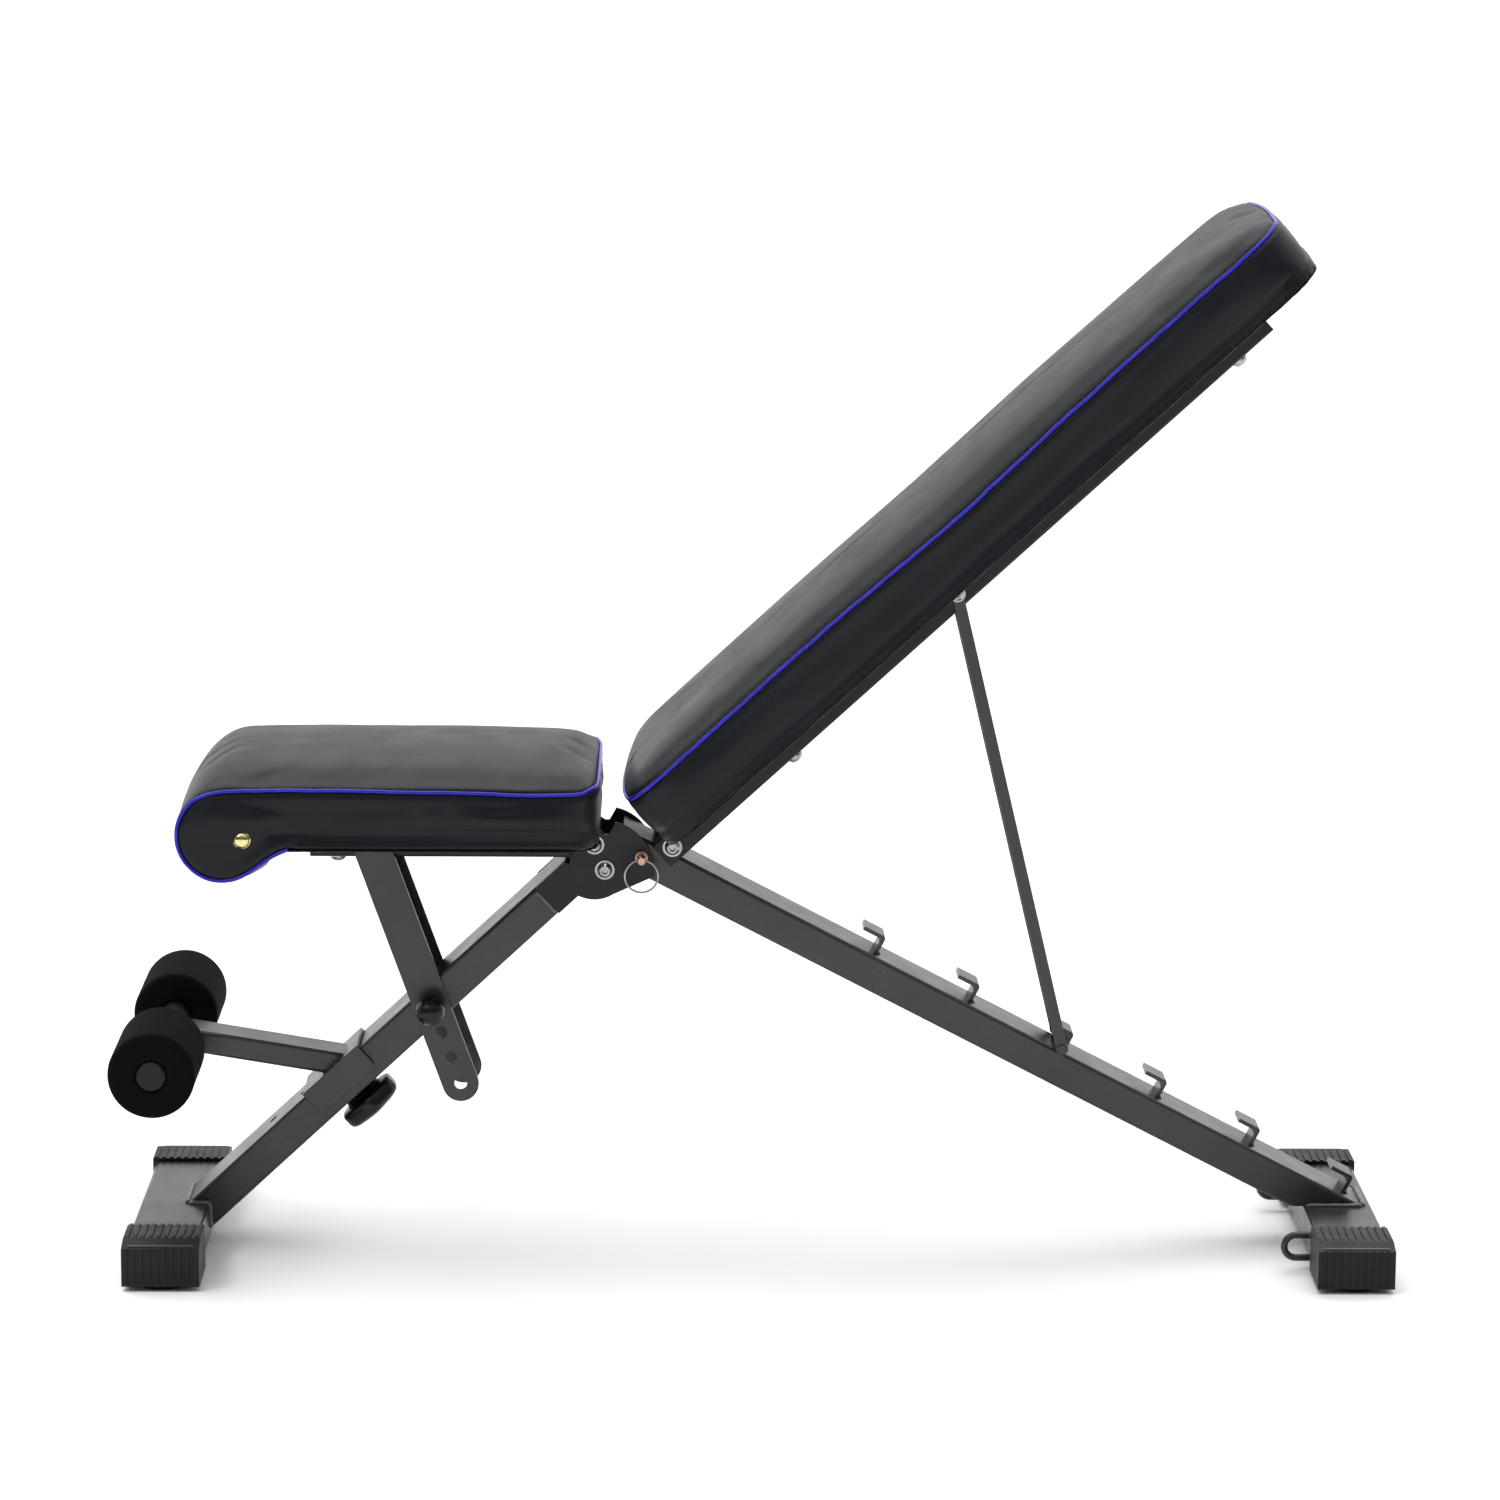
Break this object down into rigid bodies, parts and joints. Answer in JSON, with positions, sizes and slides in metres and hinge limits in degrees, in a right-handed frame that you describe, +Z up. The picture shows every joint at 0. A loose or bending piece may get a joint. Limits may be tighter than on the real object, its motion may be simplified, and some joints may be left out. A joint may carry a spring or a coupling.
{
  "type": "adjustable weight bench",
  "caption": "Folding adjustable weight bench: padded seat and backrest on a two-leg steel frame, with hooks for a backrest support bar and a sliding ankle hold-down with foam rollers.",
  "frame": {"origin": "on the floor, midway along the bench and midway across it", "axes": "+X towards the backrest's end, +Y across the bench (away from the seat pin's knob), +Z up"},
  "size_m": [1.092, 0.33, 0.906],
  "materials": {
    "frame_paint": "satin powder coat, charcoal",
    "black_plastic": "moulded, matte",
    "pad_rubber": "matte",
    "foam": "matte closed-cell foam",
    "vinyl": "black vinyl with blue piping",
    "board": "plywood",
    "zinc": "zinc plated",
    "brass": "polished"
  },
  "bodies": {
    "rear_frame": {"rear_leg": "frame_paint", "rear_foot": "frame_paint", "rear_cap_near": "black_plastic", "rear_cap_far": "black_plastic", "rear_pads": "pad_rubber", "hinge_tongue": "frame_paint", "back_bush": "frame_paint", "hook_1": "frame_paint", "hook_2": "frame_paint", "hook_3": "frame_paint", "hook_4": "frame_paint", "hook_5": "frame_paint", "hook_6": "frame_paint", "band_loop_near": "frame_paint", "band_loop_far": "frame_paint"},
    "front_frame": {"front_leg": "frame_paint", "front_foot": "frame_paint", "front_cap_near": "black_plastic", "front_cap_far": "black_plastic", "front_pads": "pad_rubber", "hinge_plate_near": "frame_paint", "hinge_plate_far": "frame_paint", "fold_bolt": "zinc", "seat_bolt": "zinc", "frame_nuts": "zinc"},
    "lock_pin": {"lock_pin": "zinc"},
    "lock_ring": {"lock_ring": "zinc"},
    "seat_pin": {"seat_pin": "zinc", "seat_pin_ball": "black_plastic"},
    "seat": {"seat_tube": "frame_paint", "seat_plug": "black_plastic", "seat_board": "board", "seat_pad": "vinyl", "seat_studs": "brass", "seat_pad_screws": "zinc", "post_bolt": "zinc"},
    "seat_post": {"seat_post": "frame_paint"},
    "hold_down": {"hold_saddle": "frame_paint", "hold_arm": "frame_paint", "hold_axle": "frame_paint", "axle_plugs": "black_plastic"},
    "hold_knob": {"hold_knob": "black_plastic", "hold_screw": "zinc"},
    "roller_near": {"roller_near": "foam"},
    "roller_far": {"roller_far": "foam"},
    "back_bolt": {"back_bolt": "zinc"},
    "backrest": {"back_tube": "frame_paint", "back_plug": "black_plastic", "back_board": "board", "back_pad": "vinyl", "back_pad_screws": "zinc"},
    "bar_bolt": {"bar_bolt": "zinc"},
    "support_bar": {"support_bar": "frame_paint"}
  },
  "joints": [
    {"name": "fold", "type": "hinge", "parent": "rear_frame", "child": "front_frame", "pos_m": [-0.12858, 0, 0.33928], "axis": [0, -1, 0], "range_deg": [0, 103]},
    {"name": "lock_pin_pull", "type": "slide", "parent": "rear_frame", "child": "lock_pin", "axis": [0, -1, 0], "range_m": [0, 0.09]},
    {"name": "lock_ring_swing", "type": "hinge", "parent": "lock_pin", "child": "lock_ring", "pos_m": [-0.09693, -0.0448, 0.35036], "axis": [1, 0, 0], "range_deg": [-90, 8]},
    {"name": "seat_pin_pull", "type": "slide", "parent": "front_frame", "child": "seat_pin", "axis": [0, -1, 0], "range_m": [0, 0.09]},
    {"name": "seat_tilt", "type": "hinge", "parent": "front_frame", "child": "seat", "pos_m": [-0.1375, 0, 0.3615], "axis": [0, 1, 0], "range_deg": [0, 24.6]},
    {"name": "post_swing", "type": "hinge", "parent": "seat", "child": "seat_post", "pos_m": [-0.3305, 0, 0.3615], "axis": [0, 1, 0], "range_deg": [-13.6, 0]},
    {"name": "hold_down_slide", "type": "slide", "parent": "front_frame", "child": "hold_down", "axis": [-0.7314, 0, -0.682], "range_m": [0, 0.074]},
    {"name": "knob_turn", "type": "hinge", "parent": "hold_down", "child": "hold_knob", "pos_m": [-0.35453, 0, 0.14705], "axis": [-0.682, 0, 0.7314], "continuous": true},
    {"name": "roller_near_spin", "type": "hinge", "parent": "hold_down", "child": "roller_near", "pos_m": [-0.509, -0.109, 0.1865], "axis": [0, 1, 0], "continuous": true},
    {"name": "roller_far_spin", "type": "hinge", "parent": "hold_down", "child": "roller_far", "pos_m": [-0.509, 0.109, 0.1865], "axis": [0, 1, 0], "continuous": true},
    {"name": "backrest_raise", "type": "hinge", "parent": "rear_frame", "child": "back_bolt", "pos_m": [-0.07036, 0, 0.35945], "axis": [0, -1, 0], "range_deg": [0, 29.56]},
    {"name": "backrest_recline", "type": "hinge", "parent": "back_bolt", "child": "backrest", "pos_m": [-0.07036, 0, 0.35945], "axis": [0, -1, 0], "range_deg": [-40, 0]},
    {"name": "bar_raise", "type": "hinge", "parent": "backrest", "child": "bar_bolt", "pos_m": [0.17201, 0, 0.58193], "axis": [0, -1, 0], "range_deg": [-29.6, 0]},
    {"name": "bar_recline", "type": "hinge", "parent": "bar_bolt", "child": "support_bar", "pos_m": [0.17201, 0, 0.58193], "axis": [0, -1, 0], "range_deg": [0, 70.9]}
  ],
  "couplings": [
    {"joint": "post_swing", "follows": "seat_tilt", "ratio": -0.55},
    {"joint": "bar_raise", "follows": "backrest_raise", "ratio": -1},
    {"joint": "bar_recline", "follows": "backrest_recline", "ratio": -1.77}
  ]
}
